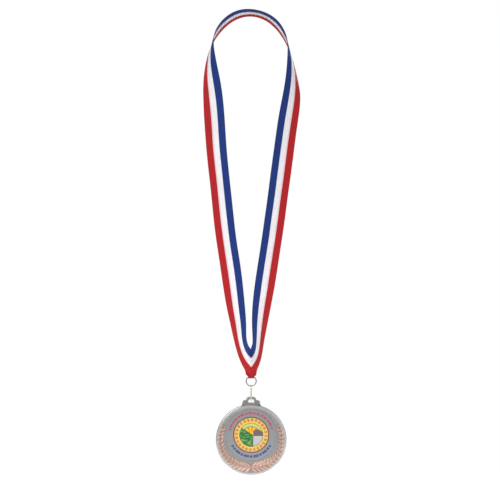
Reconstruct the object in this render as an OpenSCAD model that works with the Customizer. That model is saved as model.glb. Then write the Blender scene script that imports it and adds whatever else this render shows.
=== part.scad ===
/* [Ribbon] */
// Width of the neck ribbon
ribbon_w = 22; // [18:1:26]
// Thickness of the ribbon
ribbon_t = 0.4; // [0.3:0.05:0.5]
// Number of ribbon sections between two guide rows
ribbon_steps = 6; // [4:1:8]

/* [Tuck that holds the ring] */
// Width of the tuck, across the ribbon
tuck_w = 6.6; // [5:0.2:7]
// Height of the sewn part of the tuck above the ring
tuck_h = 5.6; // [4.6:0.2:6]

/* [Jump ring] */
// Diameter of the ring over its centre line
ring_d = 9.9; // [9.6:0.1:10.2]
// Wire of the ring
ring_wire = 1.1; // [0.9:0.1:1.2]

/* [Oval link] */
// Wire of the link
link_wire = 1.3; // [1.1:0.1:1.4]
// Clear width inside the link
link_gap_w = 5; // [4.6:0.2:6]
// Clear height inside the link
link_gap_h = 13.8; // [13.4:0.2:15]

/* [Medal] */
// Diameter of the medal
medal_d = 70; // [68:1:74]
// Thickness of the medal at its rim
medal_t = 3.8; // [3.2:0.2:4.4]
// Radius of the rounding round the front edge
rim_round = 1.6; // [1:0.2:1.8]
// How far the insert sits above the middle of the medal
insert_rise = 5; // [4:0.5:5.5]
// Diameter of the recess for the insert
recess_d = 52; // [51.4:0.2:52.6]
// Depth of the recess
recess_depth = 1.3; // [1:0.1:1.6]

/* [Insert] */
// Diameter of the standard printed insert
insert_d = 50.8; // [50:0.1:51]
// Thickness of the insert
insert_t = 0.7; // [0.5:0.1:0.8]
// Thickness of the adhesive pad behind it
pad_t = 0.2; // [0.1:0.05:0.3]

/* [Lug] */
// Diameter of the round bar at the top of the lug
bar_d = 2.6; // [2.2:0.1:2.8]
// Width of the slot under the bar
slot_w = 6; // [5:0.2:6.4]
// Width of each post beside the slot
post_w = 1.9; // [1.5:0.1:2.2]
// Height of the slot
slot_h = 3.2; // [2.8:0.1:3.4]
// Width of the stepped shoulders
shoulder_w = 16.4; // [14:0.2:18]

/* [Laurel] */
// Leaf pairs on each branch
leaf_pairs = 9; // [7:1:10]
// Length of a leaf
leaf_len = 5.4; // [4.6:0.2:5.6]
// Width of a leaf
leaf_w = 2.2; // [1.8:0.1:2.3]
// Height that the leaves stand out
leaf_relief = 0.5; // [0.3:0.1:0.7]

/* [Hidden] */
$fn = 48;

// Heights of the chain, measured down from the underside of the ribbon at the top of its arch
ring_axis_z = -360;
play = 0.06;
tuck_r = 1.95;
ring_mid_z = ring_axis_z - ring_d/2;
link_top_z = ring_axis_z - ring_d + ring_wire/2 + play;
link_bottom_z = link_top_z - link_gap_h;
bar_z = link_bottom_z + play + bar_d/2;
slot_top_z = bar_z - bar_d/2;
slot_bottom_z = slot_top_z - slot_h;
medal_z = slot_bottom_z - 1.9 - medal_d/2;
insert_z = medal_z + insert_rise;
back_y = medal_t/2;
front_y = -medal_t/2;
recess_y = front_y + recess_depth;
land_r = medal_d/2 - rim_round;

// The guide rows of the ribbon, from one side of the V seam over the arch to the other side.
// Each row is the middle of the ribbon at one place (x, y, z), then two angles of the line across
// it, from its inner edge to its outer edge: the turn about the vertical and the dip below level.
GUIDE = [
    [0, -2.1, -348.5, 60, 90],
    [-6.5, 5, -340, 60, 40],
    [-11, 8, -326, 60, 14],
    [-12.5, 6.5, -309, 46, 8],
    [-15.5, 4.5, -291, 34, 7],
    [-18, 2, -271, 26, 6],
    [-21, 0, -248, 25, 6],
    [-25, -2, -223, 25, 6],
    [-28, -4, -195, 25, 6],
    [-31, -6, -166, 26, 8],
    [-34.5, -7, -137, 26, 15],
    [-36, -8, -108, 22, 34],
    [-38.5, -8, -79, 30, 56],
    [-43, -7, -51, 62, 59],
    [-39, -5, -23.5, 72, 38],
    [-21.5, -1, -3.5, 84, 18],
    [-2, 0, 2.5, 92, 10],
    [19.5, -1, -4, 92, 14],
    [34.5, -4, -23, 104, 36],
    [41.5, -7, -49, 116, 58],
    [42, -9, -76, 136, 48],
    [36.5, -9, -105, 152, 24],
    [32.5, -7, -135, 155, 9],
    [28.5, -6, -164, 155, 7],
    [24.5, -4, -194, 155, 6],
    [20.5, -2, -224, 155, 6],
    [16.5, 0, -250, 156, 6],
    [13, 2, -273, 154, 6],
    [10, 4, -292, 146, 7],
    [8, 6.5, -310, 132, 8],
    [7, 8, -326, 118, 14],
    [5.5, 5, -340, 118, 40],
    [0, -2.1, -348.5, 120, 90]];

// Where the V is pressed flat towards the tuck, and how narrow the tip is there
seam_y = -(tuck_r + ribbon_t/2);
tip_half = 3.3;
tip_slope = 0.9;
press_height = 22;
press_least = 0.1;
seam_gap = 0.05;

function unit(v) = v/norm(v);
function smooth(f) = let (k = min(1, max(0, f))) k*k*(3 - 2*k);
function across(turn, dip) = [-cos(turn)*cos(dip), sin(turn)*cos(dip), -sin(dip)];
function spread_row(r) = concat([r[0], r[1], r[2]], across(r[3], r[4]));
ROWS = [for (r = GUIDE) spread_row(r)];
last = len(ROWS) - 1;
function row(i) = i < 0 ? 2*ROWS[0] - ROWS[1] : i > last ? 2*ROWS[last] - ROWS[last - 1] : ROWS[i];

// A smooth curve through the rows and its direction
function blend_of(i, b) = b[0]*row(i - 1) + b[1]*row(i) + b[2]*row(i + 1) + b[3]*row(i + 2);
function place(u) = let (i = min(last - 1, floor(u)), f = u - i)
    blend_of(i, [pow(1 - f, 3), 3*pow(f, 3) - 6*f*f + 4, -3*pow(f, 3) + 3*f*f + 3*f + 1, pow(f, 3)]/6);
function slope(u) = let (i = min(last - 1, floor(u)), f = u - i)
    blend_of(i, [-pow(1 - f, 2), 3*f*f - 4*f, -3*f*f + 2*f + 1, f*f]/2);
function first3(v) = [v[0], v[1], v[2]];
function last3(v) = [v[3], v[4], v[5]];

// Pressing the tip flat, narrowing it to the tuck and keeping each side of the seam to itself
function pressed(p) = p.z > ring_axis_z + press_height ? p :
    [p.x, seam_y + (p.y - seam_y)
        *(press_least + (1 - press_least)*smooth((p.z - ring_axis_z)/press_height)), p.z];
function narrowed(p) = let (h = tip_half + tip_slope*max(0, p.z - ring_axis_z))
    [min(h, max(-h, p.x)), p.y, max(p.z, ring_axis_z)];
function parted(p, side) = p.z > -325 ? p :
    [side < 0 ? min(p.x, -seam_gap) : max(p.x, seam_gap), p.y, p.z];

// The four corners of the ribbon's section at u: inner and outer edge, front and back. At the tip
// the line across is carried down to the level cut where the tuck begins.
function section(u) = let (
    here = place(u),
    middle = first3(here),
    w = unit(last3(here)),
    t = unit(first3(slope(u))),
    half_w = ribbon_w/2/max(0.4, norm(cross(w, t))),
    to_cut = (middle.z - ring_axis_z)/max(0.01, -w.z*half_w),
    at_tip = w.z < 0 && abs(middle.x + w.x*half_w*to_cut) < tip_half && middle.z < -330,
    reach = at_tip ? to_cut : min(1, max(0.5, to_cut)),
    front = unit(cross(t, w))*ribbon_t/2,
    side = u < last/2 ? -1 : 1,
    at_seam = u == 0 || u == last,
    front_top = at_seam ? [0, -ribbon_t, 0] : front,
    front_tip = at_seam ? [0, -ribbon_t/2, 0] : front,
    inner = pressed(middle - w*half_w),
    outer = pressed(middle + w*half_w*reach))
    [for (p = [inner + front_top, outer + front_tip, outer - front_tip, inner - front_top])
        parted(narrowed(p), side)];

module neck_ribbon() {
    steps = last*ribbon_steps;
    sections = [for (k = [0:steps]) section(last*k/steps)];
    points = [for (s = sections) each s];
    sides = [for (k = [0:steps - 1], c = [0:3]) let (a = 4*k + c, b = 4*k + (c + 1) % 4)
        each c < 2 ? [[a, b + 4, a + 4], [a, b, b + 4]] : [[a, b, a + 4], [b, b + 4, a + 4]]];
    color("firebrick")
        polyhedron(points, concat(sides, [[0, 2, 1], [0, 3, 2],
            [4*steps, 4*steps + 1, 4*steps + 2], [4*steps, 4*steps + 2, 4*steps + 3]]));
}

// Lays a flat outline drawn in y and z along x, centred
module along_x(length) {
    translate([-length/2, 0, 0]) rotate([90, 0, 90]) linear_extrude(length) children();
}

// The end of the ribbon, folded under the ring's wire and sewn up behind
panel_y = 1;
module ribbon_tuck() {
    outer_r = tuck_r + ribbon_t;
    color("brown") translate([0, 0, ring_axis_z]) along_x(tuck_w) {
        difference() {
            circle(outer_r);
            circle(tuck_r);
            translate([-outer_r - 1, 0]) square([2*outer_r + 2, outer_r + 1]);
        }
        polygon([[tuck_r, 0], [outer_r, 0], [outer_r, 1.3], [-panel_y + 0.6, tuck_h],
            [-panel_y, tuck_h], [tuck_r, 1]]);
    }
}

// The sewn edges of the two ribbon ends, lying together behind the V seam
flap_bottom_z = -353;
flap_top_z = -336;
flap_back_y = 4.4;
module seam_flap() {
    color("firebrick") along_x(2*ribbon_t)
        polygon([[-0.6, flap_bottom_z], [flap_back_y - 1.6, flap_bottom_z], [flap_back_y, flap_bottom_z + 3],
            [flap_back_y, flap_top_z - 3], [flap_back_y - 1.6, flap_top_z], [-0.2, flap_top_z]]);
}

// The row of lock stitches through both layers of the flap
stitch_pitch = 2.4;
module seam_stitches() {
    color("darkred") for (k = [0:6], side = [-1, 1])
        translate([side*(ribbon_t + 0.1), 1.2, flap_bottom_z + 1.2 + k*stitch_pitch])
            linear_extrude(1.6) circle(0.1, $fn = 16);
}

// The bar of stitches that closes the tuck above the ring
module tuck_stitches() {
    color("darkred") for (x = [-2.4:1.2:2.4])
        translate([x - 0.4, -outer_face_y() - 0.1, ring_axis_z + 3.4])
            rotate([0, 90, 0]) linear_extrude(0.8) circle(0.1, $fn = 16);
}
function outer_face_y() = tuck_r + ribbon_t + 0.02;

module jump_ring() {
    color("silver") translate([0, 0, ring_mid_z]) rotate([90, 0, 0])
        rotate_extrude($fn = 64) translate([ring_d/2, 0]) circle(d = ring_wire, $fn = 24);
}

// An oval of wire: two half turns joined by straight sides
module oval_link() {
    bend_r = (link_gap_w + link_wire)/2;
    side_h = link_gap_h - link_gap_w;
    color("khaki") translate([0, 0, link_bottom_z + link_gap_w/2]) rotate([0, -90, 0]) {
        for (end = [0, 1]) translate([end*side_h, 0, 0]) rotate([0, 0, end*180 + 90])
            rotate_extrude(angle = 180, $fn = 48) translate([bend_r, 0]) circle(d = link_wire, $fn = 24);
        for (y = [-bend_r, bend_r]) translate([0, y, 0]) rotate([0, 90, 0])
            cylinder(d = link_wire, h = side_h, $fn = 24);
    }
}

// Turns a shape drawn round +Z so that it faces the front, -Y
module facing_front(z) {
    translate([0, 0, z]) rotate([90, 0, 0]) children();
}

module medal_blank() {
    facing_front(medal_z) rotate_extrude($fn = 96) {
        translate([0, -back_y]) square([land_r, medal_t]);
        translate([land_r - 0.01, -back_y]) square([rim_round + 0.01, medal_t - rim_round]);
        intersection() {
            translate([land_r, back_y - rim_round]) circle(rim_round);
            translate([land_r - 0.01, back_y - rim_round]) square(rim_round + 0.01);
        }
    }
}

// The lug on top of the medal: a round bar on two posts over stepped shoulders
shoulder_r = 1;
step_back = 0.2;
module lug() {
    lug_w = slot_w + 2*post_w;
    foot_z = medal_z + medal_d/2 - 1.6;
    shoulder_z = slot_top_z - 1;
    translate([-lug_w/2, 0, bar_z]) rotate([0, 90, 0]) cylinder(d = bar_d, h = lug_w);
    for (side = [-1, 1])
        translate([side*(slot_w + post_w)/2 - post_w/2, -bar_d/2, foot_z])
            cube([post_w, bar_d, bar_z - foot_z]);
    translate([-lug_w/2, -bar_d/2, foot_z]) cube([lug_w, bar_d, slot_bottom_z - foot_z]);
    translate([0, bar_d/2 - step_back, 0]) rotate([90, 0, 0]) linear_extrude(bar_d - 2*step_back)
        difference() {
            union() {
                translate([-shoulder_w/2, foot_z - shoulder_r])
                    square([shoulder_w, shoulder_z - foot_z]);
                translate([-shoulder_w/2 + shoulder_r, shoulder_z - 2*shoulder_r])
                    square([shoulder_w - 2*shoulder_r, 2*shoulder_r]);
                for (side = [-1, 1]) translate([side*(shoulder_w/2 - shoulder_r), shoulder_z - shoulder_r])
                    circle(shoulder_r);
            }
            translate([-slot_w/2, slot_bottom_z]) square([slot_w, slot_h]);
        }
}

module medal_body() {
    color("darkgray") difference() {
        union() {
            medal_blank();
            lug();
        }
        facing_front(insert_z) translate([0, 0, -recess_y]) cylinder(d = recess_d, h = medal_t, $fn = 96);
    }
}

// One pointed leaf with a raised midrib, lying on z = 0 and pointing along +x
module leaf(length) {
    h = leaf_relief;
    polyhedron([[0, 0, 0], [0.45*length, -leaf_w/2, 0], [length, 0, 0], [0.45*length, leaf_w/2, 0],
        [0.1*length, 0, h*0.7], [0.45*length, 0, h], [0.85*length, 0, h*0.5]],
        [[0, 1, 2, 3], [0, 4, 1], [1, 4, 5], [1, 6, 2], [1, 5, 6], [2, 6, 3], [3, 6, 5], [3, 5, 4],
            [3, 4, 0]]);
}

// A branch that follows the lower rim, from the stems at the bottom up one side
stem_r = 30.2;
first_leaf = 14;
last_leaf = 106;
stem_wire = 0.7;
leaf_lean = 28;
leaf_start = 1.1;
module laurel_branch(side) {
    facing_front(medal_z) translate([0, 0, back_y]) {
        for (k = [0:leaf_pairs - 1]) {
            a = -90 + side*(first_leaf + (last_leaf - first_leaf)*k/(leaf_pairs - 1));
            heading = a + side*90;
            at = stem_r*[cos(a), sin(a)];
            for (lean = [-leaf_lean, leaf_lean])
                translate([at.x, at.y, 0]) rotate([0, 0, heading + lean]) translate([leaf_start, 0, 0])
                    leaf(k == leaf_pairs - 1 ? 0.8*leaf_len : leaf_len);
        }
        intersection() {
            rotate_extrude($fn = 96) translate([stem_r - stem_wire/2, 0]) square([stem_wire, 0.3]);
            linear_extrude(1) polygon([[0, 0], for (k = [0:6])
                60*[cos(-90 + side*(6 + k*17)), sin(-90 + side*(6 + k*17))]]);
        }
    }
}
module laurel_left() { color("darksalmon") laurel_branch(-1); }
module laurel_right() { color("darksalmon") laurel_branch(1); }

// The crossed stems at the bottom
module laurel_tie() {
    color("darksalmon") facing_front(medal_z) translate([0, -stem_r, back_y]) {
        for (side = [-1, 1]) rotate([0, 0, side*32])
            translate([-2.6, -0.35, 0]) cube([5.2, 0.7, 0.4]);
    }
}

module insert_disc() {
    color("gainsboro") facing_front(insert_z) translate([0, 0, -recess_y + pad_t])
        cylinder(d = insert_d, h = insert_t, $fn = 96);
}

module adhesive_pad() {
    color("white") facing_front(insert_z) translate([0, 0, -recess_y])
        cylinder(d = insert_d - 6, h = pad_t, $fn = 96);
}

neck_ribbon();
ribbon_tuck();
seam_flap();
seam_stitches();
tuck_stitches();
jump_ring();
oval_link();
medal_body();
laurel_left();
laurel_right();
laurel_tie();
insert_disc();
adhesive_pad();
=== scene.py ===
# %% [markdown]
# # A neck-ribbon medal
# The object is a striped ribbon sewn into a loop, a jump ring and an oval link that let the medal
# turn freely, and a cast medal with a raised laurel and a round printed insert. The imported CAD
# model fixes the joints and the main sizes, so it is loaded first. The ring, the link, the casting
# and the insert take their sizes from it, and the ribbon repeats the rows that shape its CAD solid.

# %% The frame and its box
import math

import bpy
import numpy as np
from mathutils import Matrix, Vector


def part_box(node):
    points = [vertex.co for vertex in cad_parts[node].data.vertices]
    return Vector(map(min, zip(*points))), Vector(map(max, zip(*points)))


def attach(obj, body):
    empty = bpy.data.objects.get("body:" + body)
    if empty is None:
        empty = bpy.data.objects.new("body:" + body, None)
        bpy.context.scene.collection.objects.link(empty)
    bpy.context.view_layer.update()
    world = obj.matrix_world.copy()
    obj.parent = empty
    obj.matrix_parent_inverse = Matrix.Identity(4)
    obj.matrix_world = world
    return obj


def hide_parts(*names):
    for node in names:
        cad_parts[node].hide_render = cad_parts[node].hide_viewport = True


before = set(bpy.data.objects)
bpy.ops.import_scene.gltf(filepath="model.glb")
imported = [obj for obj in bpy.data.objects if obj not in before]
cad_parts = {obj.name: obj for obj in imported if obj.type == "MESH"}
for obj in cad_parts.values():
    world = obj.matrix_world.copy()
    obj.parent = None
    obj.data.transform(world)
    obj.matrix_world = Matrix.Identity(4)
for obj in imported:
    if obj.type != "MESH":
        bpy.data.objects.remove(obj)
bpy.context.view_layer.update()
MM = 0.001

# %% [markdown]
# ## The camera
# A medal on its ribbon is tall and thin, so a long lens from a little under two metres shows it
# with almost no perspective. The camera looks straight along +Y, level with the middle of the hang.

# %% The camera
camera_data = bpy.data.cameras.new("camera")
camera_data.lens = 130.64
camera_data.sensor_width = 36
camera = bpy.data.objects.new("camera", camera_data)
camera.location = (-0.0012, -1.8, -0.2349)
camera.rotation_euler = (math.radians(90), 0, 0)
bpy.context.collection.objects.link(camera)
bpy.context.scene.camera = camera
bpy.context.scene.view_settings.view_transform = "Standard"
print("camera", tuple(camera.location))

# %% [markdown]
# ## Shader sums
# Most finishes below are sums: a distance from a centre, a stripe's edge, a wave along the cloth.
# Written as nodes one by one they are hard to read, so one small class wraps a node's output and
# lets Python's own operators add the Math nodes. Colours go through Mix nodes, because a Math node
# would turn them grey.

# %% One class for shader sums
class Signal:
    """An output in a material's tree. Operators on it add Math nodes."""

    def __init__(self, tree, out):
        self.tree = tree
        self.out = out

    def node(self, kind, settings, inputs, take=0):
        """Any node: its settings are set first, then the values or links of its sockets."""
        made = self.tree.nodes.new(kind)
        for key, value in settings.items():
            setattr(made, key, value)
        for key, value in inputs.items():
            if isinstance(value, Signal):
                self.tree.links.new(value.out, made.inputs[key])
            else:
                made.inputs[key].default_value = value
        return Signal(self.tree, made.outputs[take])

    def sums(self, operation, *values):
        return self.node("ShaderNodeMath", {"operation": operation}, dict(enumerate(values)))

    def __add__(self, other):
        return self.sums("ADD", self, other)

    __radd__ = __add__

    def __sub__(self, other):
        return self.sums("SUBTRACT", self, other)

    def __rsub__(self, other):
        return self.sums("SUBTRACT", other, self)

    def __mul__(self, other):
        return self.sums("MULTIPLY", self, other)

    __rmul__ = __mul__

    def sine(self):
        return self.sums("SINE", self)

    def size(self):
        return self.sums("ABSOLUTE", self)

    def above(self, edge, soft):
        """1 where the value is above the edge, 0 below, with a soft step between."""
        return self.node("ShaderNodeMath", {"operation": "MULTIPLY_ADD", "use_clamp": True},
                         {0: self, 1: 1/soft, 2: 0.5 - edge/soft})

    def below(self, edge, soft):
        return 1 - self.above(edge, soft)

    def inside(self, low, high, soft):
        return self.above(low, soft)*self.below(high, soft)

    def mix(self, first, second):
        """The first colour where this value is 0 and the second where it is 1."""
        return self.node("ShaderNodeMix", {"data_type": "RGBA"}, {0: self, 6: first, 7: second}, 2)

    def noise(self, scale, detail=3.0):
        return self.node("ShaderNodeTexNoise", {}, {"Vector": self, "Scale": scale, "Detail": detail})

    def painted(self, name):
        """A value that a piece carries at its points."""
        return self.node("ShaderNodeAttribute", {"attribute_name": name}, {}, 2)


# %% Colours and the start of a finish
def paint(red, green, blue):
    """A colour given in the usual 0 to 255 steps, as the linear light that shaders use."""
    steps = [red/255, green/255, blue/255]
    return tuple(s/12.92 if s <= 0.04045 else ((s + 0.055)/1.055)**2.4 for s in steps) + (1.0,)


def new_finish(name, **constants):
    """A material with its shader's constant values set, and its Object coordinates."""
    material = bpy.data.materials.new(name)
    material.use_nodes = True
    tree = material.node_tree
    shader = tree.nodes["Principled BSDF"]
    for key, value in constants.items():
        shader.inputs[key.replace("_", " ")].default_value = value
    place = Signal(tree, tree.nodes.new("ShaderNodeTexCoord").outputs["Object"])
    return material, shader, place


def feed(shader, **signals):
    """Links signals to the shader's sockets: Base_Color=..., Roughness=..."""
    for key, signal in signals.items():
        signal.tree.links.new(signal.out, shader.inputs[key.replace("_", " ")])


def bumped(height, distance, strength=1.0):
    inputs = {"Strength": strength, "Distance": distance, "Height": height}
    return height.node("ShaderNodeBump", {}, inputs)


print("middle grey in linear light", round(paint(128, 128, 128)[0], 3))

# %% [markdown]
# ## Floor and light
# The floor is plain and nearly white, and the room round it is white to the camera. What the metal
# reflects is another matter: a room of one brightness makes metal look like grey paint, so for
# every ray but the camera's own the room runs from a dim floor to a bright ceiling.

# %% The floor
FLOOR_Z = -0.5
FLOOR_R = 0.45


def pale_floor():
    material, shader, place = new_finish("pale floor", Roughness=0.9, Emission_Strength=0.45)
    tint = place.noise(6.0).mix(paint(244, 244, 244), paint(250, 250, 250))
    feed(shader, Base_Color=tint, Emission_Color=tint)
    return material


floor_edge = np.linspace(0, 2*math.pi, 96, endpoint=False)
mesh = bpy.data.meshes.new("floor")
mesh.from_pydata([(FLOOR_R*math.cos(a), FLOOR_R*math.sin(a), FLOOR_Z) for a in floor_edge], [],
                 [tuple(range(len(floor_edge)))])
mesh.materials.append(pale_floor())
floor = bpy.data.objects.new("floor", mesh)
bpy.context.collection.objects.link(floor)


# %% The room and the lamps
def white_room():
    world = bpy.data.worlds.new("room")
    world.use_nodes = True
    tree = world.node_tree
    background = tree.nodes["Background"]
    way = Signal(tree, tree.nodes.new("ShaderNodeTexCoord").outputs["Generated"])
    height = way.node("ShaderNodeSeparateXYZ", {}, {0: way}, 2)
    seen = way.node("ShaderNodeLightPath", {}, {})
    glow = height.node("ShaderNodeMapRange", {}, {0: height, 1: -0.6, 2: 0.9, 3: 0.1, 4: 0.86})
    both = seen.node("ShaderNodeMix", {"data_type": "FLOAT"}, {0: seen, 2: glow, 3: 1.0})
    background.inputs["Color"].default_value = (1, 1, 1, 1)
    tree.links.new(both.out, background.inputs["Strength"])
    bpy.context.scene.world = world


def soft_lamp(name, place, target, width, power):
    data = bpy.data.lights.new(name, "AREA")
    data.size = width
    data.energy = power
    lamp = bpy.data.objects.new(name, data)
    lamp.location = place
    aim = [t - p for t, p in zip(target, place)]
    lamp.rotation_euler = (math.atan2(math.hypot(aim[0], aim[1]), -aim[2]), 0,
                           math.atan2(aim[1], aim[0]) - math.pi/2)
    bpy.context.collection.objects.link(lamp)


white_room()
soft_lamp("key", (-0.9, -1.1, 0.5), (0, 0, -0.3), 0.7, 11)
soft_lamp("fill", (1.1, -0.9, -0.1), (0, 0, -0.3), 0.9, 4)
soft_lamp("back", (0.5, 1.3, 0.3), (0, 0, -0.3), 0.9, 5)
print("room and lamps set")

# %% [markdown]
# ## Making meshes from rings of points
# Ribbon, ring, link, casting and insert are all skins over rows of points: a ring of points is
# worked out at each step along a path, and neighbouring rings are joined by faces. One helper
# makes the faces and turns them all outwards by the sign of the volume that they enclose.

# %% Skins, paths and pieces
def skin(rings, closed=False):
    """Points and faces over equal rings of points. An open skin gets a cap at each end."""
    count, around = rings.shape[:2]
    faces = []
    for i in range(count if closed else count - 1):
        a, b = i*around, (i + 1) % count*around
        for j in range(around):
            k = (j + 1) % around
            faces.append((a + j, a + k, b + k, b + j))
    if not closed:
        faces += [tuple(range(around))[::-1], tuple(range((count - 1)*around, count*around))]
    return outward(rings.reshape(-1, 3), faces)


def outward(points, faces):
    """Turns every face over if the closed shape comes out inside out."""
    corners = np.array([points[list(f[:3])] for f in faces])
    sums = np.einsum("ij,ij->i", corners[:, 0], np.cross(corners[:, 1], corners[:, 2]))
    four = [f for f in faces if len(f) == 4]
    rest = np.array([points[[f[0], f[2], f[3]]] for f in four])
    sums = sums.sum() + np.einsum("ij,ij->i", rest[:, 0], np.cross(rest[:, 1], rest[:, 2])).sum()
    return points, faces if sums > 0 else [f[::-1] for f in faces]


def piece(name, points, faces, finish, values=None, sharp=40):
    """A mesh object at the origin, with values painted on its points."""
    mesh = bpy.data.meshes.new(name)
    mesh.from_pydata([tuple(p) for p in points], [], faces)
    for key, numbers in (values or {}).items():
        layer = mesh.attributes.new(key, "FLOAT", "POINT")
        layer.data.foreach_set("value", np.asarray(numbers, dtype=np.float32).ravel())
    mesh.shade_smooth()
    mesh.set_sharp_from_angle(angle=math.radians(sharp))
    mesh.materials.append(finish)
    made = bpy.data.objects.new(name, mesh)
    bpy.context.collection.objects.link(made)
    print(name, "faces", len(mesh.polygons))
    return made


def side_name(side):
    return "left" if side < 0 else "right"


def unit(vectors):
    return vectors/np.maximum(1e-12, np.linalg.norm(vectors, axis=-1, keepdims=True))


def smooth(f):
    k = np.clip(f, 0, 1)
    return k*k*(3 - 2*k)


# %% [markdown]
# ## The ribbon's route
# The ribbon is a plain strip 22 mm wide and about 0.76 m long. It rises from the seam behind the
# medal, leans out, passes over the arch on edge and comes down again. Its route is a short list of
# rows, the same ones that shape the CAD solid: the middle of the ribbon, then how the line across
# it is turned and how far it dips. A smooth cubic curve runs through the rows.

# %% Guide rows of the ribbon, in millimetres and degrees
GUIDE = [
    [0, -2.1, -348.5, 60, 90], [-6.5, 5, -340, 60, 40], [-11, 8, -326, 60, 14],
    [-12.5, 6.5, -309, 46, 8], [-15.5, 4.5, -291, 34, 7], [-18, 2, -271, 26, 6],
    [-21, 0, -248, 25, 6], [-25, -2, -223, 25, 6], [-28, -4, -195, 25, 6],
    [-31, -6, -166, 26, 8], [-34.5, -7, -137, 26, 15], [-36, -8, -108, 22, 34],
    [-38.5, -8, -79, 30, 56], [-43, -7, -51, 62, 59], [-39, -5, -23.5, 72, 38],
    [-21.5, -1, -3.5, 84, 18], [-2, 0, 2.5, 92, 10], [19.5, -1, -4, 92, 14],
    [34.5, -4, -23, 104, 36], [41.5, -7, -49, 116, 58], [42, -9, -76, 136, 48],
    [36.5, -9, -105, 152, 24], [32.5, -7, -135, 155, 9], [28.5, -6, -164, 155, 7],
    [24.5, -4, -194, 155, 6], [20.5, -2, -224, 155, 6], [16.5, 0, -250, 156, 6],
    [13, 2, -273, 154, 6], [10, 4, -292, 146, 7], [8, 6.5, -310, 132, 8],
    [7, 8, -326, 118, 14], [5.5, 5, -340, 118, 40], [0, -2.1, -348.5, 120, 90]]
RIBBON_W = 22
RIBBON_T = 0.4
TUCK_Z = -360
TUCK_R = 1.95 + RIBBON_T/2
SEAM_Y = -TUCK_R
PRESS_H = 22
TIP_HALF = 3.15
NOTCH_Z = -333.8
TIP_STRIPE = 0.84
V_TOP = -330
FLAT_H = 4


def guide_rows():
    rows = []
    for x, y, z, turn, dip in GUIDE:
        t, d = math.radians(turn), math.radians(dip)
        rows.append([x, y, z, -math.cos(t)*math.cos(d), math.sin(t)*math.cos(d), -math.sin(d)])
    rows = np.array(rows, dtype=float)
    return np.vstack([2*rows[0] - rows[1], rows, 2*rows[-1] - rows[-2]])


def route(u):
    """The middle of the ribbon, the way along it and the line across it, at each u."""
    rows = guide_rows()
    i = np.minimum(len(GUIDE) - 2, np.floor(u)).astype(int)
    f = (u - i)[:, None]
    weights = [(1 - f)**3, 3*f**3 - 6*f*f + 4, -3*f**3 + 3*f*f + 3*f + 1, f**3]
    slopes = [-(1 - f)**2, 3*f*f - 4*f, -3*f*f + 2*f + 1, f*f]
    here = sum(w*rows[i + k] for k, w in enumerate(weights))/6
    ahead = sum(s*rows[i + k] for k, s in enumerate(slopes))/2
    return here[:, :3], unit(ahead[:, :3]), unit(here[:, 3:])


# %% [markdown]
# ## From a route to cloth
# The two ends meet in a V. There the strip is pressed flat towards the tuck, its lower corner is
# cut level where the tuck starts, and its end is rolled back into the seam. The roll and painted
# shade along the crease make the dark line down the middle of the V, and painted shade darkens the
# V's inner corner and the cloth just above the tuck. Just above the tuck it lies flat and narrow,
# which leaves the ring room to swing. The edges of a woven ribbon are a little thicker than its
# middle, because the weft turns back there, so each section gets a small bead at both edges.

# %% Shaping the V
def pressed(y, above):
    """Depth drawn towards the seam's plane, nearly all of it at the tuck, none above PRESS_H."""
    press = np.where(above > PRESS_H, 1, 0.1 + 0.9*smooth(above/PRESS_H))
    return SEAM_Y + (y - SEAM_Y)*press*(0.1 + 0.9*smooth(above/FLAT_H))


def narrowed(x, above):
    """The sides kept within the tip: narrow at the tuck for the ring, then quickly wider."""
    widest = TIP_HALF + 1.25*smooth((above - 0.3)/0.5) + 0.36*above + 0.015*above**2
    return np.clip(x, -widest, widest)


def drawn_in(x, z):
    """The two inner edges drawn together at the V's inner corner."""
    pulled = 1.1*np.exp(-(x/2)**2 - ((z - NOTCH_Z - 2.3)/3)**2)
    return np.sign(x)*np.maximum(0, np.abs(x) - pulled)


# %% The ribbon as a surface without thickness
def ribbon_surface(u, across):
    middle, along, line = route(u)
    tilt = np.linalg.norm(np.cross(line, along), axis=1)
    half = RIBBON_W/2/np.maximum(0.4, tilt)
    drop = np.maximum(0.01, -line[:, 2]*half)
    to_cut = (middle[:, 2] - TUCK_Z)/drop
    cut_x = np.abs(middle[:, 0] + line[:, 0]*half*to_cut)
    stretch = 1 + 0.4*(1 - smooth((cut_x - 3)/5))*(middle[:, 2] < V_TOP)
    reach = np.clip(np.minimum(stretch, to_cut), 0.3, None)
    inner = middle - line*half[:, None]
    outer = middle + line*(half*reach)[:, None]
    grid = inner[:, None] + (outer - inner)[:, None]*across[None, :, None]
    above = np.maximum(0, grid[..., 2] - TUCK_Z)
    grid[..., 1] = pressed(grid[..., 1], above)
    grid[..., 0] = drawn_in(narrowed(grid[..., 0], above), grid[..., 2])
    length = np.concatenate([[0], np.cumsum(np.linalg.norm(np.diff(middle, axis=0), axis=1))])
    from_end = np.minimum(u, len(GUIDE) - 1 - u)
    raised = 0.06*np.exp(-(from_end/0.8)**2)
    woven = across[None, :]*((1 + reach)/2)[:, None] + raised[:, None]
    return grid, length, woven


def rolled_and_shaded(grid):
    """The end of each branch rolled back where the two meet in the seam, and the painted shade there."""
    low = (1 - smooth((grid[..., 2] + 334)/6))*smooth((grid[..., 2] + 358)/9)
    near = np.exp(-(grid[..., 0]/0.34)**2)
    grid[..., 1] += 0.85*near*low
    # Painted shade, returned below: along the seam's crease, at the V's inner corner and on the cloth just
    # above the tuck.
    notch = 0.7*np.exp(-(grid[..., 0]/3.2)**2 - ((grid[..., 2] + 339)/5)**2)
    lowest = 0.3*smooth((-355.5 - grid[..., 2])/4)
    return np.maximum(near*low, notch) + lowest


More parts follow.
